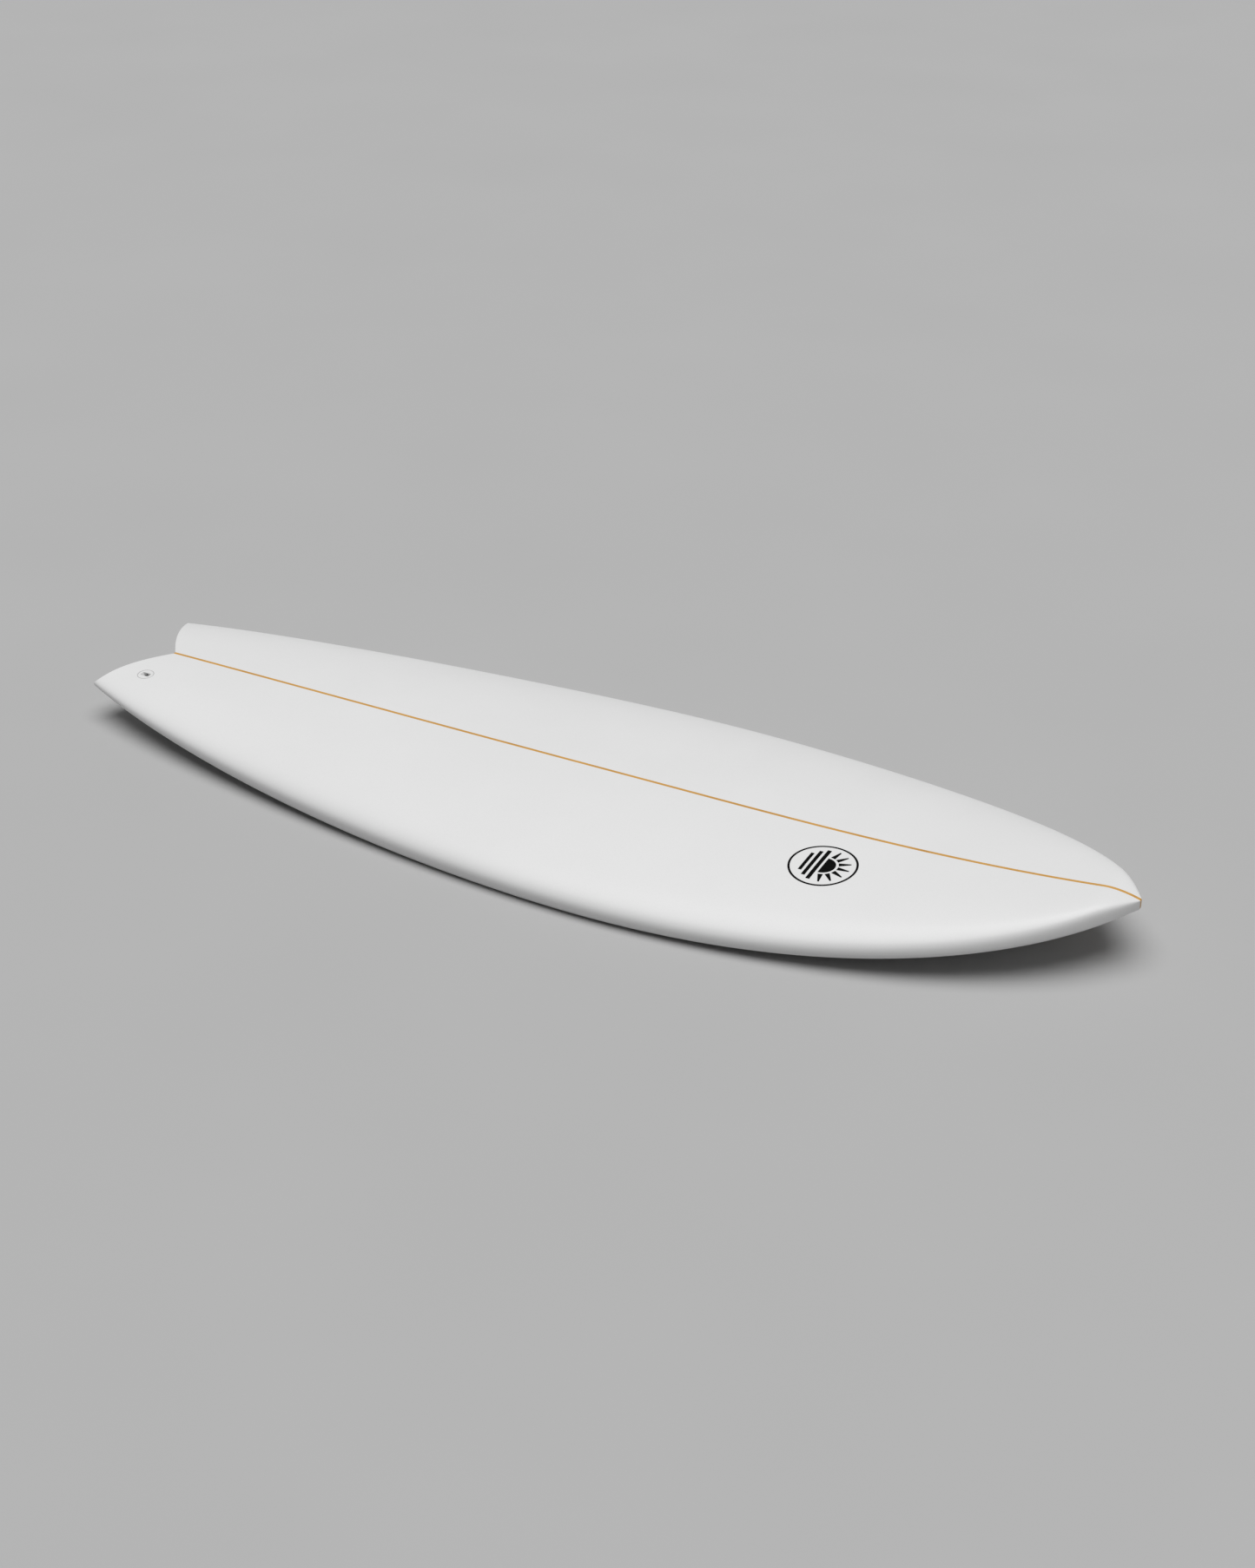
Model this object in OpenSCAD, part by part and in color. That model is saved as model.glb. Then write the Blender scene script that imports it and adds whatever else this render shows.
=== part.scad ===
// Fish-style shortboard: foam blank, wooden stringer, glass laminates, leash plug and fin boxes.
// Millimetres. +X points to the nose, +Y to the left rail, +Z up through the deck.
// The origin is half way along the board, under the lowest point of its bottom.

/* [Outline] */
// Length from the tail tips to the nose
board_l = 1676; // [1660:1:1700]
// Greatest width
board_w = 562; // [540:1:580]
// Distance of the widest point from the tail tips
wide_x = 940; // [900:1:980]
// Distance between the two tail tips
tail_w = 239; // [225:1:255]
// Depth of the swallow-tail notch, tips to crotch
notch_depth = 70; // [60:1:80]
// Width left at the nose tip
nose_w = 7; // [6:0.5:9]

/* [Rocker and foil] */
// Greatest thickness, glass included
board_t = 69; // [64:0.5:74]
// Distance of the thickest point from the tail tips
thick_x = 908; // [880:1:940]
// Height of the bottom at the tail tips
tail_rocker = 44; // [38:0.5:50]
// Height of the bottom at the nose
nose_rocker = 75; // [68:0.5:82]
// Thickness at the tail tips, on the centre line carried back
tail_t = 26; // [24:0.5:30]
// Thickness at the nose tip
nose_t = 14; // [12:0.5:16]

/* [Construction] */
// Thickness of the stringer
stringer_t = 5; // [3:0.5:5.5]
// Thickness of one laminate, cloth and resin
ply_t = 0.4; // [0.3:0.05:0.6]

/* [Leash plug] */
// Outside diameter of the cup
cup_d = 25; // [24:0.5:27]
// Depth of the cup
cup_h = 17; // [15:0.5:18]
// Cup centre, forward of the tail tips
cup_x = 72; // [68:1:80]
// Cup centre, out from the stringer to the right
cup_y = 78; // [70:1:84]
// Diameter of the steel cross bar
bar_d = 3; // [2.5:0.5:3.5]

/* [Fin boxes] */
// Length of the slot that takes the fin's tab
slot_l = 114.3; // [112:0.1:116]
// Width of the slot
slot_w = 6.6; // [6.3:0.1:7]
// Depth of the front slots
front_slot_h = 19; // [18:0.5:20]
// Depth of the rear slots
rear_slot_h = 12.7; // [12:0.1:13.5]
// Front slot centre, forward of the tail tips
front_fin_x = 345; // [335:1:355]
// Front slot centre, out from the stringer
front_fin_y = 162; // [156:1:166]
// Front slots point in towards the nose by this angle
front_toe = 3; // [2:0.25:4]
// Rear slot centre, forward of the tail tips
rear_fin_x = 205; // [198:1:210]
// Rear slot centre, out from the stringer
rear_fin_y = 126; // [120:1:130]
// Rear slots point in towards the nose by this angle
rear_toe = 2; // [1.5:0.25:3]

/* [Emblem] */
// Diameter of the round emblem on the deck
emblem_d = 98; // [90:1:104]
// Emblem centre, forward of the tail tips
emblem_x = 1254; // [1240:1:1270]
// Emblem centre, out from the stringer to the right
emblem_y = 92; // [85:1:98]

/* [Hidden] */
FINS = ["front_right", "front_left", "rear_right", "rear_left"];
$fn = 48;

low_x = board_l / 2;          // the bottom is lowest here
nose_len = board_l - wide_x;
tip_len = 52;                 // the foil thins faster over this last stretch
tip_drop = 13.4;              // and loses this much more there
tuck = 13;                    // width of the turn from the bottom up to the rail
edge_t = 1.2;                 // tape over the swallow-tail edge
tip_round = 10;               // length of the tail tips' round ends

// ---- Outline ----

tail_curve = [
    [0, tail_w / 2],
    [0.225 * wide_x, 0.365 * board_w],
    [0.687 * wide_x, board_w / 2],
    [wide_x, board_w / 2]
];
nose_curve = [
    [wide_x, board_w / 2],
    [wide_x + 0.435 * nose_len, board_w / 2],
    [wide_x + 0.867 * nose_len, 0.34 * board_w],
    [board_l, nose_w / 2]
];
tail_steps = 18;
nose_steps = 22;

function bezier(p, t) =
    pow(1 - t, 3) * p[0] + 3 * pow(1 - t, 2) * t * p[1] + 3 * (1 - t) * t * t * p[2] + t * t * t * p[3];

// Stations along the board, closer together at the nose: [x, half width]
stations = concat(
    [for (i = [0 : tail_steps - 1]) bezier(tail_curve, i / tail_steps)],
    [for (i = [nose_steps : -1 : 0]) bezier(nose_curve, 1 - pow(i / nose_steps, 1.4))]
);

// Halves the interval until f, which rises, meets the wanted value
function solve(f, want, low, high, left = 30) =
    let (mid = (low + high) / 2)
    left == 0 ? mid : f(mid) < want ? solve(f, want, mid, high, left - 1) : solve(f, want, low, mid, left - 1);

function half_width(x) =
    let (
        curve = x < wide_x ? tail_curve : nose_curve,
        t = solve(function (t) bezier(curve, t)[0], x, 0, 1)
    )
    bezier(curve, t)[1];

// ---- Rocker, foil and rails ----

function bottom_z(x) =
    x < low_x
        ? tail_rocker * pow(1 - x / low_x, 2.37)
        : nose_rocker * pow((x - low_x) / (board_l - low_x), 2.82);

function thickness(x) =
    x < thick_x
        ? board_t - (board_t - tail_t) * pow(1 - x / thick_x, 2.7)
        : board_t
            - (board_t - nose_t - tip_drop) * pow((x - thick_x) / (board_l - thick_x), 2.08)
            - tip_drop * pow(max(0, 1 - (board_l - x) / tip_len), 1.73);

// Half a cross-section at x. The rail's widest point sits at this height, and the deck is a
// Bezier curve over to it: flat at the stringer, upright at the rail.
function rail_z(x) = bottom_z(x) + (0.32 - 0.14 * x / board_l) * thickness(x);

function deck_curve(x, w) =
    let (
        u = x / board_l,
        top = bottom_z(x) + thickness(x),
        rail = rail_z(x),
        flat = 0.60 - 0.22 * u + 0.50 * pow(u, 6),
        upright = 0.70 - 0.13 * u + 0.40 * pow(u, 6),
        core = stringer_t / 2
    )
    [
        [core, top],
        [core + flat * (w - core), top],
        [w, rail + upright * (top - rail)],
        [w, rail]
    ];

function slope(p, t) =
    3 * pow(1 - t, 2) * (p[1] - p[0]) + 6 * (1 - t) * t * (p[2] - p[1]) + 3 * t * t * (p[3] - p[2]);

function unit(v) = v / norm(v);

// A section point is [y, z], moved in from the outer skin by d along the skin's normal
function deck_point(x, w, t, d) =
    let (p = deck_curve(x, w), s = unit(slope(p, t)))
    bezier(p, t) + d * [s[1], -s[0]];

// How far in from the rail the bottom starts to turn up
function turn(w) = min(tuck, 0.8 * (w - stringer_t / 2));

function under_point(x, w, a, d) =
    let (
        r = turn(w),
        h = rail_z(x) - bottom_z(x),
        n = unit([cos(a) / r, -sin(a) / h])
    )
    [w - r + r * cos(a), rail_z(x) - h * sin(a)] - d * n;

function flat_point(x, w, k, d) =
    let (core = stringer_t / 2)
    [core + k * (w - turn(w) - core), bottom_z(x) + d];

deck_steps = 8;
under_steps = 4;
flat_marks = [0.88, 0];                 // the flat bottom's columns, as shares of its width
last = deck_steps + under_steps + len(flat_marks);
deck_lap = 5;                           // the bottom laminate reaches this column of the deck
under_lap = deck_steps + under_steps;   // the deck laminate reaches this column of the bottom

// Column j of the section, from the stringer over the deck, round the rail and back below.
// Nose sections are so small that the laminates thin out with them.
function section_point(x, w, j, plies) =
    let (d = plies * min(ply_t, 0.08 * w))
    j <= deck_steps ? deck_point(x, w, j / deck_steps, d)
    : j <= under_lap ? under_point(x, w, 90 * (j - deck_steps) / under_steps, d)
    : flat_point(x, w, flat_marks[j - under_lap - 1], d);

// Depth of each surface below the skin, in plies, at column j. Laps are sanded to a feather edge.
function foam_depth(j) = j >= deck_lap && j <= under_lap ? 2 : 1;
function deck_inside(j) = j <= under_lap ? 1 : 0;
function bottom_outside(j) = j <= under_lap ? 1 : 0;

// ---- Lofts ----
// A loop is a list of [side, column, plies]; the solid joins the same loop at every station.

function loop_point(s, q) =
    let (p = section_point(s[0], s[1], q[1], q[2]))
    [s[0] - board_l / 2, q[0] * p[0], p[1]];

module loft(loop, spans) {
    n = len(loop);
    m = len(spans);
    points = [for (s = spans, q = loop) loop_point(s, q)];
    sides = [
        for (i = [0 : m - 2], k = [0 : n - 1])
            let (
                next = (k + 1) % n,
                a = i * n + k,
                b = i * n + next,
                c = a + n,
                e = b + n
            )
            each loop[next][1] > loop[k][1] ? [[a, e, b], [a, c, e]] : [[a, c, b], [b, c, e]]
    ];
    tail_cap = [for (k = [0 : n - 1]) k];
    nose_cap = [for (k = [n - 1 : -1 : 0]) (m - 1) * n + k];
    polyhedron(points, concat(sides, [tail_cap, nose_cap]), convexity = 6);
}

// Every loop runs clockwise as seen from the tail. The foam's is the right half's.
foam_loop = [for (j = [0 : last]) [-1, j, foam_depth(j)]];
deck_loop = concat(
    [for (j = [under_lap + 1 : -1 : 0]) [1, j, 0]],
    [for (j = [0 : under_lap + 1]) [-1, j, 0]],
    [for (j = [under_lap : -1 : 0]) [-1, j, deck_inside(j)]],
    [for (j = [0 : under_lap]) [1, j, deck_inside(j)]]
);
bottom_loop = concat(
    [for (j = [deck_lap - 1 : last]) [-1, j, bottom_outside(j)]],
    [for (j = [last : -1 : deck_lap - 1]) [1, j, bottom_outside(j)]],
    [for (j = [deck_lap : last]) [1, j, foam_depth(j)]],
    [for (j = [last : -1 : deck_lap]) [-1, j, foam_depth(j)]]
);
skin_loop = concat(
    [for (j = [0 : last]) [-1, j, 0]],
    [for (j = [last : -1 : 0]) [1, j, 0]]
);

// ---- Tail ----

// The notch's edge, forward of the tips, at the share q of the way out to a tip: it flattens
// towards the tip and then turns in to a round end
function notch_x(q) =
    (notch_depth - tip_round) * pow(1 - q, 1.65) + tip_round * sqrt(1 - pow(q, 10));

// The swallow tail: everything behind these two bowed edges is cut away
module notch(shift = 0) {
    steps = 10;
    far = tail_w / 2 + 40;
    edge = [
        for (k = [-steps : steps])
            let (q = sin(90 * k / steps))
            [notch_x(abs(q)), q * tail_w / 2]
    ];
    translate([shift - board_l / 2, 0, 0])
        linear_extrude(height = 200, center = true)
            polygon(concat([[-20, -far], [0, -far]], edge, [[0, far], [-20, far]]));
}

// ---- Fin boxes ----
// In a fin's own frame +X runs forward along the slot and +Z into the board, from a point on
// the bottom skin in the middle of the slot.

fin_places = [
    [front_fin_x, -front_fin_y, front_toe, front_slot_h],
    [front_fin_x, front_fin_y, -front_toe, front_slot_h],
    [rear_fin_x, -rear_fin_y, rear_toe, rear_slot_h],
    [rear_fin_x, rear_fin_y, -rear_toe, rear_slot_h]
];
box_inset = 1.5;        // the flange lies this far under the skin, behind its patch and the glass
flange_l = 140;
flange_w = 26;
flange_t = 2;
body_l = 136;
body_w = 14;
floor_t = 3;
trim_gap = 0.3;         // the glass is cut back this far round the slot
screw_r = 2.4;
screw_play = 0.05;
screw_l = 7;
screw_depth = 10;       // the screw's axis meets the slot's end this deep in the box
screw_lean = 35;        // its axis leans this far from upright
screw_back = 5;         // the screw waits this far back from the slot
key_across = 2.4;

module in_fin_frame(i) {
    p = fin_places[i];
    pitch = atan((bottom_z(p[0] + 1) - bottom_z(p[0] - 1)) / 2);
    translate([p[0] - board_l / 2, p[1], bottom_z(p[0])])
        rotate([0, -pitch, p[2]])
            children();
}

// A slot with round ends, from z up
module stadium(l, w, z, h) {
    translate([0, 0, z])
        linear_extrude(height = h)
            union() {
                square([l - w, w], center = true);
                for (end = [-1, 1])
                    translate([end * (l - w) / 2, 0])
                        circle(d = w);
            }
}

// Along the screw's axis, measured out from where it meets the slot's end
module on_screw_axis(out) {
    translate([slot_l / 2 - 1, 0, box_inset + screw_depth])
        rotate([0, 180 - screw_lean, 0])
            translate([0, 0, out])
                children();
}

// The space of the flange, and of the body under it, from z up
module box_space(i, z) {
    stadium(flange_l, flange_w, z, box_inset + flange_t - z);
    stadium(body_l, body_w, z, box_inset + fin_places[i][3] + floor_t - z);
}

module glass_openings(i) {
    in_fin_frame(i) {
        stadium(slot_l + 2 * trim_gap, slot_w + 2 * trim_gap, -3, box_inset + 3);
        on_screw_axis(screw_back)
            cylinder(r = screw_r + 2 * trim_gap, h = 20);
    }
}

module fin_box(i) {
    color("gainsboro")
        in_fin_frame(i)
            difference() {
                box_space(i, box_inset);
                stadium(slot_l, slot_w, box_inset - 1, fin_places[i][3] + 1);
                on_screw_axis(-2)
                    cylinder(r = screw_r + screw_play, h = 30);
            }
}

module fin_screw(i) {
    color("silver")
        in_fin_frame(i)
            on_screw_axis(screw_back)
                difference() {
                    cylinder(r = screw_r, h = screw_l);
                    translate([0, 0, screw_l - 3])
                        cylinder(d = key_across / cos(30), h = 4, $fn = 6);
                }
}

module foam_blank(side) {
    mirror([0, side > 0 ? 1 : 0, 0])
        loft(foam_loop, stations);
}

module fin_patch(i) {
    side = sign(fin_places[i][1]);
    color("whitesmoke")
        difference() {
            intersection() {
                foam_blank(side);
                in_fin_frame(i)
                    stadium(flange_l, flange_w, -3, box_inset + 3);
            }
            glass_openings(i);
        }
}

// ---- Leash plug ----

function deck_z(x, y) =
    let (
        curve = deck_curve(x, half_width(x)),
        t = solve(function (t) bezier(curve, t)[0], abs(y), 0, 1)
    )
    bezier(curve, t)[1];

recess_l = 16;
recess_w = 8;
recess_floor = 6;
recess_h = 12;
bar_drop = 2.2;
bar_grip = 2;

// Origin on the deck at the cup's centre, +Z square to the deck
module in_cup_frame() {
    rise_x = (deck_z(cup_x + 1, cup_y) - deck_z(cup_x - 1, cup_y)) / 2;
    fall_y = (deck_z(cup_x, cup_y - 1) - deck_z(cup_x, cup_y + 1)) / 2;
    translate([cup_x - board_l / 2, -cup_y, deck_z(cup_x, cup_y)])
        rotate([atan(fall_y), -atan(rise_x), 0])
            children();
}

module cup_hole() {
    in_cup_frame()
        translate([0, 0, -cup_h])
            cylinder(d = cup_d, h = cup_h + 5);
}

module bar_rod() {
    in_cup_frame()
        translate([0, 0, -bar_drop])
            rotate([90, 0, 0])
                cylinder(d = bar_d, h = recess_w + 2 * bar_grip, center = true);
}

module leash_cup() {
    color("white")
        difference() {
            in_cup_frame()
                difference() {
                    translate([0, 0, -cup_h])
                        cylinder(d = cup_d, h = cup_h);
                    rotate([90, 0, 0])
                        linear_extrude(height = recess_w, center = true)
                            polygon([
                                [-recess_floor / 2, -recess_h],
                                [recess_floor / 2, -recess_h],
                                [recess_l / 2, 1],
                                [-recess_l / 2, 1]
                            ]);
                }
            bar_rod();
        }
}

module leash_bar() {
    color("dimgray")
        bar_rod();
}

// ---- Blank, stringer and glass ----

// The right half, routed for its two fin boxes
module routed_foam() {
    difference() {
        loft(foam_loop, stations);
        notch(edge_t);
        for (i = [0, 2])
            in_fin_frame(i)
                box_space(i, -3);
    }
}

module foam_right() {
    color("white")
        difference() {
            routed_foam();
            cup_hole();
        }
}

module foam_left() {
    color("white")
        mirror([0, 1, 0])
            routed_foam();
}

module stringer() {
    top = [for (s = stations) [s[0] - board_l / 2, section_point(s[0], s[1], 0, 1)[1]]];
    under = [
        for (i = [len(stations) - 1 : -1 : 0])
            let (s = stations[i])
            [s[0] - board_l / 2, section_point(s[0], s[1], last, 1)[1]]
    ];
    color("burlywood")
        difference() {
            rotate([90, 0, 0])
                linear_extrude(height = stringer_t, center = true)
                    polygon(concat(top, under));
            notch(edge_t);
        }
}

module deck_laminate() {
    color("white")
        difference() {
            loft(deck_loop, stations);
            notch(edge_t);
            cup_hole();
        }
}

module bottom_laminate() {
    color("white")
        difference() {
            loft(bottom_loop, stations);
            notch(edge_t);
            for (i = [0 : len(FINS) - 1])
                glass_openings(i);
        }
}

module tail_edge_tape() {
    color("white")
        difference() {
            intersection() {
                loft(skin_loop, [for (s = stations) if (s[0] < 2 * notch_depth) s]);
                notch(edge_t);
            }
            notch();
        }
}

// ---- Emblem ----

module nose_emblem() {
    reach = emblem_d / 2 + 60;
    near = [for (s = stations) if (abs(s[0] - emblem_x) < reach) s];
    sticker_loop = concat(
        [for (j = [0 : deck_steps - 1]) [-1, j, -0.5]],
        [for (j = [deck_steps - 1 : -1 : 0]) [-1, j, 0]]
    );
    color("dimgray")
        intersection() {
            loft(sticker_loop, near);
            translate([emblem_x - board_l / 2, -emblem_y, 0])
                cylinder(d = emblem_d, h = 200);
        }
}

foam_right();
foam_left();
stringer();
bottom_laminate();
deck_laminate();
tail_edge_tape();
leash_cup();
leash_bar();
nose_emblem();
for (i = [0 : len(FINS) - 1]) {
    fin_box(i);
    fin_screw(i);
    fin_patch(i);
}
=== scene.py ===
from math import cos, pi, radians, sin

import bmesh
import bpy
import numpy as np
from mathutils import Matrix, Vector


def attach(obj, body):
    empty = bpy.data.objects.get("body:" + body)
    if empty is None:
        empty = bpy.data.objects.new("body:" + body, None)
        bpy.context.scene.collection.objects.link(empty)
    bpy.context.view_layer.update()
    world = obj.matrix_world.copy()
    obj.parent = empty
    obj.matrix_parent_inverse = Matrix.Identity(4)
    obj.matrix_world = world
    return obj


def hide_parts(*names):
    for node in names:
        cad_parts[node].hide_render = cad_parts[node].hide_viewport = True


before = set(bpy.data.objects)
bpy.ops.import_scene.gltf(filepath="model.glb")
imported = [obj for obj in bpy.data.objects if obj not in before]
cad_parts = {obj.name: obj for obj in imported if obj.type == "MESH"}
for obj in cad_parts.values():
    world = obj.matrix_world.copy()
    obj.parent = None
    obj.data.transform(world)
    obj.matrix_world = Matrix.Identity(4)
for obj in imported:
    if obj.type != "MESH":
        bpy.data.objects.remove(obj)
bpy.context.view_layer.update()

# The board's shape is worked out in millimetres, with x running forward from the tail tips, as in
# the CAD model. skin() and to_metres() turn points into metres in the row frame, and so do the
# matrices of the leash plug and the fin boxes.
MM = 0.001
BODY = "board"

BOARD_L = 1676
BOARD_W = 562
WIDE_X = 940
TAIL_W = 239
NOTCH_DEPTH = 70
NOSE_W = 7
BOARD_T = 69
THICK_X = 908
TAIL_ROCKER = 44
NOSE_ROCKER = 75
TAIL_T = 26
NOSE_T = 14
LOW_X = BOARD_L / 2     # the bottom is lowest here
TIP_LEN = 52            # the foil thins faster over this last stretch
TIP_DROP = 13.4         # and loses this much more there
TUCK = 13               # width of the turn from the bottom up to the rail
CORE = 2.5              # half the stringer's thickness
GLASS = 0.4             # thickness of one laminate
TIP_ROUND = 10          # length of the tail tips' round ends
EDGE_R = 1.2            # rounding of the swallow tail's edges
NOSE_R = 1.6            # rounding of the nose's end
ARC_STEPS = 7           # points round each of those edges

# ---- Outline, rocker and foil ----

TAIL_X = [0, 0.225 * WIDE_X, 0.687 * WIDE_X, WIDE_X]
TAIL_Y = [TAIL_W / 2, 0.365 * BOARD_W, BOARD_W / 2, BOARD_W / 2]
NOSE_LEN = BOARD_L - WIDE_X
NOSE_X = [WIDE_X, WIDE_X + 0.435 * NOSE_LEN, WIDE_X + 0.867 * NOSE_LEN, BOARD_L]
NOSE_Y = [BOARD_W / 2, BOARD_W / 2, 0.34 * BOARD_W, NOSE_W / 2]


def bezier(p, t):
    """A cubic with the control values p, at t."""
    return (1 - t) ** 3 * p[0] + 3 * (1 - t) ** 2 * t * p[1] + 3 * (1 - t) * t ** 2 * p[2] + t ** 3 * p[3]


def bezier_slope(p, t):
    """The cubic's rate of change at t."""
    first = 3 * (1 - t) ** 2 * (p[1] - p[0])
    return first + 6 * (1 - t) * t * (p[2] - p[1]) + 3 * t ** 2 * (p[3] - p[2])


def solve(rising, want, low=0.0, high=1.0):
    """Where a rising function meets each wanted value, by halving."""
    want = np.asarray(want, float)
    low = np.full(want.shape, float(low))
    high = np.full(want.shape, float(high))
    for _ in range(36):
        middle = (low + high) / 2
        below = rising(middle) < want
        low = np.where(below, middle, low)
        high = np.where(below, high, middle)
    return (low + high) / 2


def half_width(x):
    """The outline, as the distance out from the middle."""
    tail_t = solve(lambda t: bezier(TAIL_X, t), np.minimum(x, WIDE_X))
    nose_t = solve(lambda t: bezier(NOSE_X, t), np.maximum(x, WIDE_X))
    return np.where(x < WIDE_X, bezier(TAIL_Y, tail_t), bezier(NOSE_Y, nose_t))


def bottom_z(x):
    """The rocker: the height of the bottom."""
    aft = TAIL_ROCKER * np.clip(1 - x / LOW_X, 0, 1) ** 2.37
    fore = NOSE_ROCKER * np.clip((x - LOW_X) / (BOARD_L - LOW_X), 0, 1) ** 2.82
    return aft + fore


def thickness(x):
    """The foil, with a quicker loss over the nose's last stretch."""
    aft = (BOARD_T - TAIL_T) * np.clip(1 - x / THICK_X, 0, 1) ** 2.7
    fore = (BOARD_T - NOSE_T - TIP_DROP) * np.clip((x - THICK_X) / (BOARD_L - THICK_X), 0, 1) ** 2.08
    tip = TIP_DROP * np.clip(1 - (BOARD_L - x) / TIP_LEN, 0, 1) ** 1.73
    return BOARD_T - aft - fore - tip


def section(x, v, depth=0.0):
    """Half a cross-section at x, as distance out from the middle and height.

    v runs from 0 to 1 over the deck, to 2 round under the rail, and to 3 back along the bottom.
    depth is measured in from the skin."""
    x, v = np.broadcast_arrays(np.asarray(x, float), np.asarray(v, float))
    w = half_width(x)
    low = bottom_z(x)
    thick = thickness(x)
    top = low + thick
    u = x / BOARD_L
    # The rail's height, and how flat the deck starts and how upright it ends, all change along it
    rail = low + (0.32 - 0.14 * u) * thick
    flat = 0.60 - 0.22 * u + 0.50 * u ** 6
    upright = 0.70 - 0.13 * u + 0.40 * u ** 6
    deck_y = [CORE, CORE + flat * (w - CORE), w, w]
    deck_z = [top, top, rail + upright * (top - rail), rail]
    t = np.clip(v, 0, 1)
    angle = (np.clip(v, 1, 2) - 1) * pi / 2
    share = 3 - np.clip(v, 2, 3)
    turn = np.minimum(TUCK, 0.8 * (w - CORE))

    def pick(deck, under, below):
        return np.where(v <= 1, deck, np.where(v <= 2, under, below))

    y = pick(bezier(deck_y, t), w - turn + turn * np.cos(angle), CORE + share * (w - turn - CORE))
    z = pick(bezier(deck_z, t), rail - (rail - low) * np.sin(angle), low)
    out_y = pick(-bezier_slope(deck_z, t), np.cos(angle) / turn, 0)
    out_z = pick(bezier_slope(deck_y, t), -np.sin(angle) / (rail - low), -1)
    length = np.hypot(out_y, out_z)
    inset = np.minimum(depth, 0.08 * w)
    y = y - inset * out_y / length
    z = z - inset * out_z / length
    # The last few millimetres draw in to a rounded nose
    ahead = np.clip((x - BOARD_L + NOSE_R) / NOSE_R, 0, 0.98)
    squeeze = np.sqrt(1 - ahead ** 2)
    middle = low + thick / 2
    y = CORE + (y - CORE) * squeeze
    z = middle + (z - middle) * (1 - (1 - squeeze) * 2 * NOSE_R / NOSE_T)
    return y, z


def skin(x, v, side, depth=0.0):
    """Points of the skin in the row frame, in metres. side is -1 on the right and 1 on the left."""
    y, z = section(x, v, depth)
    x = np.broadcast_to(x, y.shape)
    return np.stack([x - BOARD_L / 2, side * y, z], axis=-1) * MM


def deck_height(x, y):
    """The height of the deck at a distance y out from the middle."""
    v = solve(lambda v: section(x, v)[0], np.abs(y))
    return section(x, v)[1]


def bottom_height(x, y):
    """The height of the bottom or of the tuck under the rail."""
    v = solve(lambda v: -section(x, v)[0], -np.abs(y), 1, 3)
    return section(x, v)[1]


def to_metres(x, y, z):
    x, y, z = np.broadcast_arrays(x, y, z)
    return np.stack([x - BOARD_L / 2, y, z], axis=-1) * MM


# ---- The swallow tail ----


def notch_x(y):
    """The notch's edge at a distance out from the middle."""
    q = np.clip(np.abs(y) / (TAIL_W / 2), 0, 1)
    return (NOTCH_DEPTH - TIP_ROUND) * (1 - q) ** 1.65 + TIP_ROUND * np.sqrt(1 - q ** 10)


def notch_lean(y):
    """How much longer a step square to the edge is when it is taken along x."""
    slope = notch_x(y) - notch_x(y + 1)
    return np.minimum(np.hypot(1, slope), 2)


def tail_start(v):
    """Where each of the skin's columns v starts, at the tape over the notch's edge."""

    def clear(x):
        y = section(x, v)[0]
        return x - notch_x(y) - EDGE_R * notch_lean(y)

    return solve(clear, np.zeros(np.shape(v)), 0, 2 * NOTCH_DEPTH)


TAIL_END = 260          # the rows run straight across from here to the nose
TAIL_ROWS = 36
LONG_ROWS = 140


def rows(v):
    """The x of every row of points at each column v, closer together at the ends."""
    start = tail_start(v)
    tail_share = np.linspace(0, 1, TAIL_ROWS, endpoint=False)[:, None] ** 1.4
    tail = start + (TAIL_END - start) * tail_share
    long_share = 1 - (1 - np.linspace(0, 1, LONG_ROWS, endpoint=False)) ** 1.35
    long_end = BOARD_L - NOSE_R
    long = TAIL_END + (long_end - TAIL_END) * long_share
    nose = long_end + NOSE_R * np.sin(np.linspace(0, pi / 2, ARC_STEPS))
    ahead = np.concatenate([long, nose])[:, None]
    return np.concatenate([tail, np.broadcast_to(ahead, (len(ahead), len(v)))])


# ---- Mesh building ----


def slab(outer, inner):
    """A closed solid between two matching grids of points."""
    n, m = outer.shape[:2]
    points = np.concatenate([outer.reshape(-1, 3), inner.reshape(-1, 3)])
    under = n * m
    faces = []
    for i in range(n - 1):
        for j in range(m - 1):
            a = i * m + j
            faces.append((a, a + m, a + m + 1, a + 1))
            faces.append((under + a, under + a + 1, under + a + m + 1, under + a + m))
    border = [i * m for i in range(n)]
    border += [(n - 1) * m + j for j in range(1, m)]
    border += [i * m + m - 1 for i in range(n - 2, -1, -1)]
    border += list(range(m - 2, 0, -1))
    for a, b in zip(border, border[1:] + border[:1]):
        faces.append((a, b, under + b, under + a))
    return points, faces


def tube(rings, capped=True):
    """A solid through closed rings of points. Without caps it joins its last ring to its first."""
    rings = np.asarray(rings)
    n, m = rings.shape[:2]
    faces = []
    for i in range(n - 1 if capped else n):
        for j in range(m):
            a = i * m
            b = (i + 1) % n * m
            k = (j + 1) % m
            faces.append((a + j, a + k, b + k, b + j))
    if capped:
        faces.append(tuple(range(m - 1, -1, -1)))
        faces.append(tuple((n - 1) * m + j for j in range(m)))
    return rings.reshape(-1, 3), faces


def placed(solid, matrix):
    """A solid with its points moved by a matrix."""
    points, faces = solid
    return [matrix @ Vector(p) for p in points], faces


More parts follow.
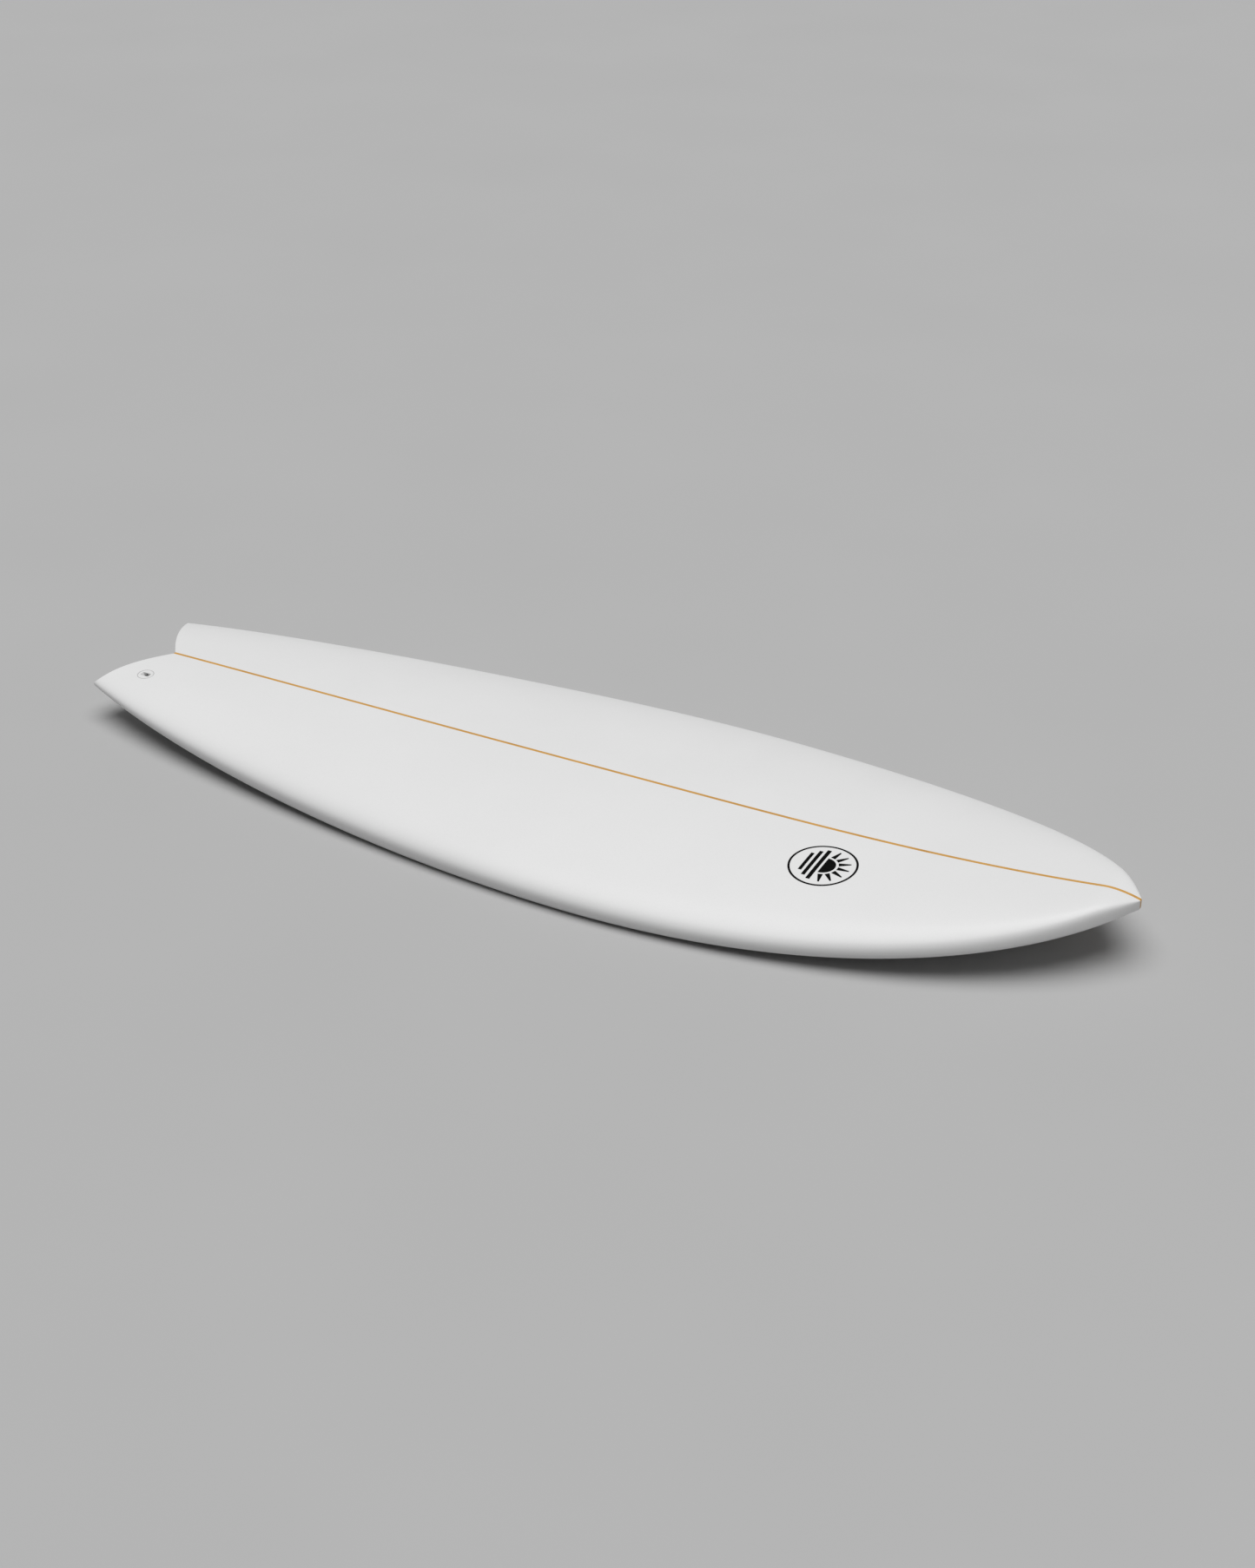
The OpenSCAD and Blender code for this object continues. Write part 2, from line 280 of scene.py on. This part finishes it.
def make(name, solids, matrix=None):
    """An object of one or more closed solids, with its points in metres in the row frame."""
    bm = bmesh.new()
    for points, faces in solids:
        verts = [bm.verts.new(p) for p in points]
        for f in faces:
            bm.faces.new([verts[k] for k in f])
    bmesh.ops.remove_doubles(bm, verts=bm.verts, dist=2e-6)
    bmesh.ops.dissolve_degenerate(bm, edges=bm.edges, dist=1e-6)
    bmesh.ops.recalc_face_normals(bm, faces=bm.faces)
    if matrix is not None:
        bm.transform(matrix)
    mesh = bpy.data.meshes.new(name)
    bm.to_mesh(mesh)
    bm.free()
    obj = bpy.data.objects.new(name, mesh)
    bpy.context.scene.collection.objects.link(obj)
    return obj


def cut(piece, tool, operation="DIFFERENCE"):
    """Applies one boolean and deletes its tool."""
    modifier = piece.modifiers.new("cut", "BOOLEAN")
    modifier.operation = operation
    modifier.solver = "EXACT"
    modifier.object = tool
    apply_modifiers(piece)
    bpy.data.objects.remove(tool)


def apply_modifiers(piece):
    """Puts the modifiers' result in place of the mesh."""
    depsgraph = bpy.context.evaluated_depsgraph_get()
    old = piece.data
    mesh = bpy.data.meshes.new_from_object(piece.evaluated_get(depsgraph), depsgraph=depsgraph)
    piece.modifiers.clear()
    piece.data = mesh
    bpy.data.meshes.remove(old)
    mesh.name = piece.name


def smooth(piece, angle=35):
    """Smooth shading that keeps edges sharper than the angle."""
    piece.data.polygons.foreach_set("use_smooth", [True] * len(piece.data.polygons))
    piece.data.set_sharp_from_angle(angle=radians(angle))


def finish_piece(piece, look, replaced=(), body=BODY):
    """Gives a piece its material and body, and hides the CAD nodes that it stands for."""
    piece.data.materials.clear()
    piece.data.materials.append(look)
    smooth(piece)
    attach(piece, body)
    if replaced:
        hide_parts(*replaced)
    return piece


def circle(radius, z, steps=72):
    """A round outline, as a ring."""
    angle = np.arange(steps) * 2 * pi / steps
    return np.stack([radius * np.cos(angle), radius * np.sin(angle), np.full(steps, float(z))], axis=1)


def stadium(length, width, z, steps=16):
    """A slot outline with round ends, as a ring."""
    angle = np.linspace(-pi / 2, pi / 2, steps)
    x = (length - width) / 2 + width / 2 * np.cos(angle)
    y = width / 2 * np.sin(angle)
    x = np.concatenate([x, -x])
    y = np.concatenate([y, -y])
    return np.stack([x, y, np.full(len(x), float(z))], axis=1)


def rounded_rectangle(length, width, radius, z, steps=6):
    """A rectangle with round corners, as a ring."""
    ring = []
    for k, (sx, sy) in enumerate([(1, 1), (-1, 1), (-1, -1), (1, -1)]):
        for a in np.linspace(k * pi / 2, (k + 1) * pi / 2, steps):
            x = sx * (length / 2 - radius) + radius * cos(a)
            ring.append((x, sy * (width / 2 - radius) + radius * sin(a), z))
    return np.array(ring)


# ---- Materials ----


def new_look(name, roughness, coat=0.0, coat_roughness=0.2, metallic=0.0, specular=0.5):
    """A material with its shader, and a function that adds and links a node."""
    look = bpy.data.materials.new(name)
    look.use_nodes = True
    shader = look.node_tree.nodes["Principled BSDF"]
    shader.inputs["Roughness"].default_value = roughness
    shader.inputs["Metallic"].default_value = metallic
    shader.inputs["Specular IOR Level"].default_value = specular
    shader.inputs["Coat Weight"].default_value = coat
    shader.inputs["Coat Roughness"].default_value = coat_roughness

    def node(kind, values=None, **settings):
        made = look.node_tree.nodes.new(kind)
        for key, value in settings.items():
            setattr(made, key, value)
        for key, value in (values or {}).items():
            if isinstance(value, bpy.types.NodeSocket):
                look.node_tree.links.new(value, made.inputs[key])
            else:
                made.inputs[key].default_value = value
        return made

    def plug(socket, value):
        look.node_tree.links.new(value, shader.inputs[socket])

    return look, node, plug


def stretched(node, scale=(1, 1, 1)):
    """Object coordinates, scaled along each axis."""
    place = node("ShaderNodeTexCoord").outputs["Object"]
    return node("ShaderNodeMapping", {"Vector": place, "Scale": scale}).outputs["Vector"]


def noise(node, scale, detail, stretch=(1, 1, 1), roughness=0.5):
    values = {"Vector": stretched(node, stretch), "Scale": scale, "Detail": detail, "Roughness": roughness}
    return node("ShaderNodeTexNoise", values).outputs["Fac"]


def cells(node, scale):
    values = {"Vector": stretched(node), "Scale": scale}
    return node("ShaderNodeTexVoronoi", values).outputs["Distance"]


def bands(node, scale, direction):
    values = {"Vector": stretched(node), "Scale": scale}
    return node("ShaderNodeTexWave", values, bands_direction=direction).outputs["Fac"]


def bumpy(node, height, strength, distance):
    """The surface's normal, raised by a texture. The distance is in metres."""
    values = {"Height": height, "Strength": strength, "Distance": distance}
    return node("ShaderNodeBump", values).outputs["Normal"]


def ramp(node, factor, stops):
    """A colour ramp through (position, colour) stops."""
    made = node("ShaderNodeValToRGB", {"Fac": factor})
    elements = made.color_ramp.elements
    while len(elements) < len(stops):
        elements.new(0.5)
    for element, (position, colour) in zip(elements, stops):
        element.position = position
        element.color = (*colour, 1)
    return made.outputs["Color"]


def multiplied(node, factor, a, b):
    """Colour a darkened by colour b. The mix node keeps its colours in sockets 6 and 7."""
    return node("ShaderNodeMix", {0: factor, 6: a, 7: b}, data_type="RGBA", blend_type="MULTIPLY").outputs[2]


def spread(node, value, low, high):
    """A texture's 0 to 1 laid over a narrower range."""
    return node("ShaderNodeMapRange", {"Value": value, "To Min": low, "To Max": high}).outputs["Result"]


def grey(value, warm=0.0):
    """A grey, or a warm one with its red raised and its blue lowered."""
    return (value * (1 + warm), value, value * (1 - warm))


def glass_look(name, tone, warm=0.0):
    """White foam seen through polished glass cloth and resin."""
    look, node, plug = new_look(name, 0.42, coat=0.12, specular=0.3)
    cloud = noise(node, 7.0, 3.0)
    base = ramp(node, cloud, [(0.3, grey(tone * 0.988, warm)), (0.7, grey(tone, warm))])
    speck = ramp(node, cells(node, 420.0), [(0.0, grey(0.97)), (0.5, grey(1.0))])
    plug("Base Color", multiplied(node, 1.0, base, speck))
    plug("Roughness", spread(node, cloud, 0.36, 0.48))
    threads = 260.0
    crossing = {0: bands(node, threads, "X"), 1: bands(node, threads, "Y")}
    weave = node("ShaderNodeMath", crossing, operation="MULTIPLY").outputs[0]
    plug("Normal", bumpy(node, weave, 0.04, 0.0002))
    return look


def wood_look():
    """Straight-grained light wood under clear resin."""
    look, node, plug = new_look("stringer_wood", 0.42, coat=0.12, specular=0.3)
    grain = noise(node, 9.0, 8.0, stretch=(1.2, 60, 60), roughness=0.6)
    tones = [(0.25, (0.50, 0.245, 0.056)), (0.5, (0.66, 0.355, 0.088)), (0.75, (0.76, 0.43, 0.125))]
    pores = noise(node, 2.0, 2.0, stretch=(20, 900, 900))
    dark = ramp(node, pores, [(0.36, grey(0.72)), (0.5, grey(1.0))])
    plug("Base Color", multiplied(node, 0.6, ramp(node, grain, tones), dark))
    plug("Normal", bumpy(node, grain, 0.08, 0.0003))
    return look


def plastic_look(name, low, high, roughness):
    """Moulded plastic with a fine spark texture."""
    look, node, plug = new_look(name, roughness)
    tone = noise(node, 120.0, 4.0)
    plug("Base Color", ramp(node, tone, [(0.3, grey(low)), (0.7, grey(high))]))
    plug("Roughness", spread(node, tone, roughness - 0.05, roughness + 0.08))
    plug("Normal", bumpy(node, noise(node, 900.0, 2.0), 0.12, 0.0002))
    return look


def ink_look():
    """Black print under the resin."""
    look, node, plug = new_look("emblem_print", 0.5, specular=0.04)
    tone = noise(node, 300.0, 5.0)
    plug("Base Color", ramp(node, tone, [(0.3, grey(0.002)), (0.75, grey(0.006))]))
    plug("Roughness", spread(node, tone, 0.34, 0.46))
    return look


def steel_look(name, base, roughness):
    """Turned stainless steel."""
    look, node, plug = new_look(name, roughness, metallic=1.0)
    lines = noise(node, 6.0, 3.0, stretch=(500, 40, 500))
    plug("Base Color", ramp(node, lines, [(0.3, grey(base * 0.82)), (0.7, grey(base))]))
    plug("Roughness", spread(node, lines, roughness - 0.06, roughness + 0.1))
    plug("Normal", bumpy(node, lines, 0.1, 0.0001))
    return look


def foam_look():
    """Shaped polyurethane foam, matt and full of fine cells."""
    look, node, plug = new_look("foam", 0.85)
    pits = cells(node, 900.0)
    plug("Base Color", ramp(node, pits, [(0.0, grey(0.68, 0.02)), (0.45, grey(0.8, 0.02))]))
    plug("Normal", bumpy(node, pits, 0.3, 0.0004))
    return look


def floor_look():
    """Plain pale matt floor."""
    look, node, plug = new_look("studio_floor", 0.9)
    plug("Base Color", ramp(node, noise(node, 2.0, 2.0), [(0.3, grey(0.45)), (0.7, grey(0.46))]))
    return look


deck_glass = glass_look("deck_glass", 0.80)
bottom_glass = glass_look("bottom_glass", 0.79, warm=0.004)
tape_glass = glass_look("tape_glass", 0.80)
patch_glass = glass_look("patch_glass", 0.74, warm=0.006)
wood = wood_look()
cup_plastic = plastic_look("cup_plastic", 0.76, 0.80, 0.4)
# Painted shade: a grey for the bead round the cup, standing in for the shadow line of the gap there
painted_gap_shade = plastic_look("painted_gap_shade", 0.46, 0.50, 0.3)
box_plastic = plastic_look("box_plastic", 0.60, 0.66, 0.45)
bar_steel = steel_look("bar_steel", 0.30, 0.3)
screw_steel = steel_look("screw_steel", 0.62, 0.25)
ink = ink_look()
foam = foam_look()

# ---- Glass ----

LAP_V = 2.12            # the deck's glass laps this far onto the bottom
DECK_COLUMNS = np.concatenate([
    np.linspace(0, 1, 32, endpoint=False),
    np.linspace(1, 2, 14, endpoint=False),
    np.linspace(2, LAP_V, 3),
])
BOTTOM_COLUMNS = np.linspace(LAP_V, 3, 8)


def shell(columns, side):
    """One side of a laminate, as a closed thin solid."""
    x = rows(columns)
    return slab(skin(x, columns, side), skin(x, columns, side, GLASS))


def edge_profile(v_top, v_low, side):
    """The tape's rounded face over the notch's edge at one column, as a closed ring."""
    start = tail_start(np.array([v_top]))[0]
    y = section(start, v_top)[0]
    arc = np.linspace(0, pi / 2, ARC_STEPS)
    x = start - (start - notch_x(y)) * np.sin(arc)
    drop = 1 - np.cos(arc)
    top = skin(x, v_top, side)
    low = skin(x, v_low, side)
    radius = np.minimum(EDGE_R * MM, (top[:, 2] - low[:, 2]) / 2)
    top[:, 2] -= radius * drop
    low[:, 2] += radius * drop
    return np.concatenate([top, low[::-1]])


def tail_tape(side):
    """The tape along one side's edge of the notch."""
    v_top = np.concatenate([np.linspace(0, 0.9, 26), np.linspace(0.92, 1, 8)])
    start = tail_start(v_top)
    out = section(start, v_top)[0]
    v_low = solve(lambda v: -section(start, v)[0], -out, 1, 3)
    return tube([edge_profile(a, b, side) for a, b in zip(v_top, v_low)])


SIDES = (-1, 1)
deck_shell = make("deck_skin", [shell(DECK_COLUMNS, side) for side in SIDES])
bottom_shell = make("bottom_skin", [shell(BOTTOM_COLUMNS, side) for side in SIDES])
tail_edge = make("tail_edge", [tail_tape(side) for side in SIDES])

# ---- Stringer ----


def plank_faces():
    """The two faces of the stringer, flush with the skins along its top and bottom."""
    start = tail_start(np.array([0.0]))[0]
    arc = np.linspace(pi / 2, 0, ARC_STEPS)
    tail_x = start - (start - notch_x(CORE)) * np.sin(arc)
    drop = EDGE_R * (1 - np.cos(arc))
    ahead = rows(np.array([0.0]))[1:, 0]
    x = np.concatenate([tail_x, ahead])
    drop = np.concatenate([drop, np.zeros(len(ahead))])
    top = section(x, 0.0)[1] - drop
    low = section(x, 3.0)[1] + drop
    share = np.array([0, 0.5, 1])
    z = low[:, None] + (top - low)[:, None] * share
    return [to_metres(x[:, None], side * CORE, z) for side in SIDES]


stringer = make("stringer_plank", [slab(*plank_faces())])
finish_piece(stringer, wood, ["stringer"])

# ---- Leash plug ----

CUP_X = 72
CUP_Y = 78
CUP_R = 12.5
CUP_H = 17
RING_W = 0.9            # the bead round the cup, grey as painted shade of the gap there
RING_DEPTH = 1
RECESS_L = 16
RECESS_W = 8
RECESS_FLOOR = 6
RECESS_H = 12
BAR_R = 1.5
BAR_DROP = 2.2
BAR_LEN = 12


def cup_frame():
    """On the deck at the cup's centre, +Z square to the deck, in millimetres."""
    step = np.array([1.0, -1.0])
    rise = deck_height(CUP_X + step, np.full(2, float(CUP_Y)))
    fall = deck_height(np.full(2, float(CUP_X)), CUP_Y - step)
    along = np.arctan((rise[0] - rise[1]) / 2)
    across = np.arctan((fall[0] - fall[1]) / 2)
    z = float(deck_height(np.array([CUP_X]), np.array([CUP_Y]))[0])
    place = Matrix.Translation((CUP_X - BOARD_L / 2, -CUP_Y, z))
    return place @ Matrix.Rotation(-along, 4, "Y") @ Matrix.Rotation(across, 4, "X")


CUP = Matrix.Scale(MM, 4) @ cup_frame()
BAR_LIE = CUP @ Matrix.Translation((0, 0, -BAR_DROP)) @ Matrix.Rotation(pi / 2, 4, "X")


def recess_ring(z, grow=0.0):
    """The tapered pocket's outline at one height."""
    length = RECESS_FLOOR + (RECESS_L - RECESS_FLOOR) * (z + RECESS_H) / (RECESS_H + 1)
    return rounded_rectangle(length + grow, RECESS_W + grow, 1.0 + grow / 2, z)


def bar_circle(z, smaller=0.0):
    return circle(BAR_R - smaller, z, 48)


def leash_cup():
    """The cup, with a pocket that has a rounded lip, and a bore for the bar."""
    foot = 1
    chamfer = 0.3
    lip = 0.35
    rings = [circle(CUP_R - foot, -CUP_H), circle(CUP_R, foot - CUP_H)]
    rings += [circle(CUP_R, -chamfer), circle(CUP_R - chamfer, 0)]
    cup = make("leash_plug_cup", [tube(rings)], CUP)
    levels = [recess_ring(-RECESS_H), recess_ring(-lip), recess_ring(lip, 4 * lip)]
    cut(cup, make("pocket", [tube(levels)], CUP))
    cut(cup, make("bore", [tube([bar_circle(-BAR_LEN / 2), bar_circle(BAR_LEN / 2)])], BAR_LIE))
    return finish_piece(cup, cup_plastic, ["leash_cup"])


def leash_bar():
    end = BAR_LEN / 2
    edge = 0.2
    rings = [bar_circle(-end, edge), bar_circle(edge - end), bar_circle(end - edge), bar_circle(end, edge)]
    return finish_piece(make("leash_plug_bar", [tube(rings)], BAR_LIE), bar_steel, ["leash_bar"])


def painted_shade_bead():
    """The bead that fills the gap between the cup and the deck's glass, grey as painted shade of that gap.
    """
    inside = [CUP @ Vector(p) for p in circle(CUP_R, 0)]
    outside = [CUP @ Vector(p) for p in circle(CUP_R + RING_W, 0)]
    depth = Vector((0, 0, -RING_DEPTH * MM))
    rings = []
    for a, b in zip(inside, outside):
        b.z = float(deck_height(np.array([b.x / MM + BOARD_L / 2]), np.array([b.y / MM]))[0]) * MM
        rings.append([a, b, b + depth, a + depth])
    bead = make("leash_plug_resin_ring", [tube([[list(p) for p in ring] for ring in rings], capped=False)])
    return finish_piece(bead, painted_gap_shade)


leash_cup()
leash_bar()
painted_shade_bead()
CUT_REACH = 8           # how far a cutting tool runs past the skin on each side
cup_hole = placed(tube([circle(CUP_R + RING_W, z) for z in (-CUT_REACH, CUT_REACH)]), CUP)

# ---- Fin boxes ----

# Each slot's middle: forward of the tail tips, out from the stringer, and toe-in in degrees
FINS = {
    "front_right": (345, -162, 3),
    "front_left": (345, 162, -3),
    "rear_right": (205, -126, 2),
    "rear_left": (205, 126, -2),
}
SLOT_L = 114.3
SLOT_W = 6.6
TRIM_GAP = 0.3
BOX_INSET = 1.5         # the flange lies this far under the skin
FLANGE_L = 140
FLANGE_W = 26
FIN_CUT = 6             # how far a box's cutting tools run past the skin
WAY_LEN = 20            # length of the tool that opens the way to a screw
SCREW_R = 2.4
SCREW_L = 7
SCREW_DEPTH = 10        # its axis meets the slot's end this deep in the box
SCREW_LEAN = 35         # its axis leans this far from upright, in degrees
SCREW_BACK = 5          # it waits this far back from the slot
POINT_R = 1.6           # the flat point that presses on the fin
HEAD_R = 1.8            # the flat end with the socket
KEY_ACROSS = 2.4
KEY_DEPTH = 3
THREAD_PITCH = 0.8
THREAD_DEPTH = 0.3


def fin_frame(name):
    """On the bottom at the slot's middle, +X forward along the slot and +Z into the board."""
    x, y, toe = FINS[name]
    pitch = np.arctan((bottom_z(x + 1) - bottom_z(x - 1)) / 2)
    place = Matrix.Translation((x - BOARD_L / 2, y, float(bottom_z(x))))
    turned = Matrix.Rotation(radians(toe), 4, "Z") @ Matrix.Rotation(-float(pitch), 4, "Y")
    return Matrix.Scale(MM, 4) @ place @ turned


def screw_frame(name, out):
    """On the screw's axis, measured out from where it meets the slot's end."""
    meet = Matrix.Translation((SLOT_L / 2 - 1, 0, BOX_INSET + SCREW_DEPTH))
    lean = Matrix.Rotation(radians(180 - SCREW_LEAN), 4, "Y")
    return fin_frame(name) @ meet @ lean @ Matrix.Translation((0, 0, out))


def through(length, width):
    """A cutting tool with a slot's outline."""
    return tube([stadium(length, width, z) for z in (-FIN_CUT, FIN_CUT)])


def flange_space(name):
    return placed(through(FLANGE_L, FLANGE_W), fin_frame(name))


def fin_patch(name):
    """The cloth patch over a box's flange, flush with the bottom, open over the slot."""
    x0, y0, _ = FINS[name]
    reach_x = FLANGE_L / 2 + 6
    reach_y = FLANGE_W / 2 + 5
    x = np.linspace(x0 - reach_x, x0 + reach_x, 39)[:, None]
    y = y0 + np.linspace(-reach_y, reach_y, 5)
    x, y = np.broadcast_arrays(x, y)
    z = bottom_height(x, y)
    patch = make("fin_patch_glass_" + name, [slab(to_metres(x, y, z), to_metres(x, y, z + BOX_INSET))])
    cut(patch, make("flange", [flange_space(name)]), "INTERSECT")
    slot = through(SLOT_L + 2 * TRIM_GAP, SLOT_W + 2 * TRIM_GAP)
    cut(patch, make("slot", [slot], fin_frame(name)))
    way = [circle(SCREW_R + 2 * TRIM_GAP, z, 40) for z in (0, WAY_LEN)]
    cut(patch, make("way", [tube(way)], screw_frame(name, SCREW_BACK)))
    return finish_piece(patch, patch_glass, ["fin_patch_" + name])


def fin_screw(name):
    """A grub screw with a cut thread and a hexagon socket. Its rings run up from the point."""
    steps = 48
    angle = np.arange(steps) * 2 * pi / steps
    rings = []

    def ring(radius, z):
        rings.append(np.stack([radius * np.cos(angle), radius * np.sin(angle), np.full(steps, z)], axis=1))

    ring(1.0, 0.0)
    ring(POINT_R, 0.0)
    for z in np.arange(0.4, SCREW_L - 0.3, THREAD_PITCH / 8):
        turn = (z / THREAD_PITCH - angle / (2 * pi)) % 1
        ring(SCREW_R - THREAD_DEPTH * np.abs(2 * turn - 1), z)
    ring(SCREW_R - THREAD_DEPTH, SCREW_L - 0.15)
    ring(HEAD_R, SCREW_L)
    key = KEY_ACROSS / 2 / np.cos((angle + pi / 6) % (pi / 3) - pi / 6)
    ring(key + 0.1, SCREW_L)
    ring(key, SCREW_L - 0.1)
    ring(key, SCREW_L - KEY_DEPTH)
    screw = make("grub_screw_" + name, [tube(rings)], screw_frame(name, SCREW_BACK))
    node = "fin_screw_" + name
    return finish_piece(screw, screw_steel, [node], body=node)


for fin in FINS:
    fin_patch(fin)
    fin_screw(fin)

# The front boxes reach under the deck glass's lap
front_flanges = [flange_space(fin) for fin in FINS if fin.startswith("front")]
cut(deck_shell, make("deck_openings", [cup_hole] + front_flanges))
cut(bottom_shell, make("bottom_openings", [flange_space(fin) for fin in FINS]))

finish_piece(deck_shell, deck_glass, ["deck_laminate"])
finish_piece(bottom_shell, bottom_glass, ["bottom_laminate"])
finish_piece(tail_edge, tape_glass, ["tail_edge_tape"])

# ---- Emblem: a plain sun over three bars, in a ring ----

EMBLEM_X = 1254
EMBLEM_Y = -92
EMBLEM_R = 49
PRINT_T = 0.15
FRAME_W = 3.2           # width of the round line
SUN_R = 18
RAY_ENDS = (21.5, 39)   # each ray's two ends, out from the centre
RAY_WIDTHS = (7.4, 2.2)
RAY_STEP = 25           # degrees between rays
BARS = [(-9.5, -3.5, 37), (-19.0, -13.5, 31), (-28.0, -23.0, 22)]


def printed(u, w):
    """A thin print on the deck. u runs to the nose and w to the right, from the emblem's centre."""
    x = EMBLEM_X + u
    y = EMBLEM_Y - w
    z = deck_height(x, y)
    return slab(to_metres(x, y, z + PRINT_T), to_metres(x, y, z))


def printed_ring(inside, outside, around=120):
    """The round line that frames the emblem."""
    angle = np.arange(around) * 2 * pi / around
    corners = []
    for radius, rise in ((inside, PRINT_T), (outside, PRINT_T), (outside, 0), (inside, 0)):
        x = EMBLEM_X + radius * np.cos(angle)
        y = EMBLEM_Y - radius * np.sin(angle)
        corners.append(to_metres(x, y, deck_height(x, y) + rise))
    return tube(np.stack(corners, axis=1), capped=False)


def half_disc(radius):
    """A disc's forward half."""
    angle = np.radians(np.linspace(-90, 90, 37))[:, None]
    out = np.linspace(0.4, radius, 5)
    return printed(out * np.cos(angle), out * np.sin(angle))


def bar(u0, u1, half_length):
    """A straight bar across the emblem, from u0 to u1 along the board."""
    u = np.linspace(u0, u1, 2)[:, None]
    w = np.linspace(-half_length, half_length, 17)
    return printed(*np.broadcast_arrays(u, w))


def ray(degrees):
    """A ray that narrows outwards."""
    angle = radians(degrees)
    out = np.linspace(*RAY_ENDS, 5)[:, None]
    half = np.linspace(*RAY_WIDTHS, 5)[:, None] / 2 * np.linspace(-1, 1, 3)
    return printed(out * cos(angle) - half * sin(angle), out * sin(angle) + half * cos(angle))


def emblem():
    solids = [printed_ring(EMBLEM_R - FRAME_W, EMBLEM_R), half_disc(SUN_R)]
    solids += [ray(RAY_STEP * k) for k in range(-3, 4)]
    solids += [bar(*sizes) for sizes in BARS]
    return finish_piece(make("emblem_print", solids), ink, ["nose_emblem"])


emblem()

# ---- CAD pieces that keep their own shape ----

for node_name, node_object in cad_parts.items():
    if node_name.startswith("fin_box_"):
        look = box_plastic
    elif node_name.startswith("foam_"):
        look = foam
    else:
        continue
    node_object.data.materials.clear()
    node_object.data.materials.append(look)

# ---- Floor, light and camera ----

FLOOR_REACH = 30
FLOOR_DROP = 0.0005      # keeps the floor just clear of the board's lowest point


def studio_floor():
    corners = [(sx * FLOOR_REACH, sy * FLOOR_REACH, 0) for sx, sy in ((-1, -1), (1, -1), (1, 1), (-1, 1))]
    mesh = bpy.data.meshes.new("studio_floor")
    mesh.from_pydata(corners, [], [(0, 1, 2, 3)])
    mesh.materials.append(floor_look())
    floor = bpy.data.objects.new("studio_floor", mesh)
    floor.location.z = -FLOOR_DROP
    bpy.context.scene.collection.objects.link(floor)


AMBIENT = 0.12
BACKDROP = 0.462         # what shows past the floor's end, as bright as the lit floor


def studio_world():
    """Even light from all round, behind a backdrop that lights nothing."""
    world = bpy.data.worlds.new("studio")
    world.use_nodes = True
    tree = world.node_tree
    ambient = tree.nodes["Background"]
    ambient.inputs["Color"].default_value = (1, 1, 1, 1)
    ambient.inputs["Strength"].default_value = AMBIENT
    backdrop = tree.nodes.new("ShaderNodeBackground")
    backdrop.inputs["Color"].default_value = (*grey(BACKDROP), 1)
    mix = tree.nodes.new("ShaderNodeMixShader")
    seen = tree.nodes.new("ShaderNodeLightPath").outputs["Is Camera Ray"]
    tree.links.new(seen, mix.inputs[0])
    tree.links.new(ambient.outputs[0], mix.inputs[1])
    tree.links.new(backdrop.outputs[0], mix.inputs[2])
    tree.links.new(mix.outputs[0], tree.nodes["World Output"].inputs["Surface"])
    bpy.context.scene.world = world


SUN_STRENGTH = 2.75
SUN_SPREAD = 60          # degrees across, so that its shadows are soft


def overhead_light():
    """A wide soft light from straight above."""
    sun = bpy.data.lights.new("overhead", "SUN")
    sun.energy = SUN_STRENGTH
    sun.angle = radians(SUN_SPREAD)
    bpy.context.scene.collection.objects.link(bpy.data.objects.new("overhead", sun))


AZIMUTH = 29.0           # degrees, and so are the next two
ELEVATION = 29.6
ROLL = -0.19
DISTANCE = 3.7483        # metres
AIM_HEIGHT = 0.067       # the view's middle, over the origin and then across the view
AIM_RIGHT = 0.0508
AIM_UP = -0.0251
FOCAL_PER_HEIGHT = 1.62348
SENSOR = 36


def place_camera():
    """The camera at the azimuth and elevation above, looking down at the board."""
    a, e, roll = radians(AZIMUTH), radians(ELEVATION), radians(ROLL)
    back = Vector((sin(a) * cos(e), -cos(a) * cos(e), sin(e)))
    right = (-back).cross(Vector((0, 0, 1))).normalized()
    up = right.cross(-back)
    right, up = cos(roll) * right + sin(roll) * up, cos(roll) * up - sin(roll) * right
    aim = Vector((0, 0, AIM_HEIGHT)) + AIM_RIGHT * right + AIM_UP * up
    data = bpy.data.cameras.new("camera")
    data.sensor_fit = "AUTO"
    data.sensor_width = SENSOR
    data.lens = SENSOR * FOCAL_PER_HEIGHT
    data.clip_end = 200
    camera = bpy.data.objects.new("camera", data)
    turned = Matrix((right, up, back)).transposed().to_4x4()
    camera.matrix_world = Matrix.Translation(aim + DISTANCE * back) @ turned
    bpy.context.scene.collection.objects.link(camera)
    bpy.context.scene.camera = camera


studio_floor()
studio_world()
overhead_light()
place_camera()
# The default view transform would grey a white board and wash out its wood
bpy.context.scene.view_settings.view_transform = "Standard"
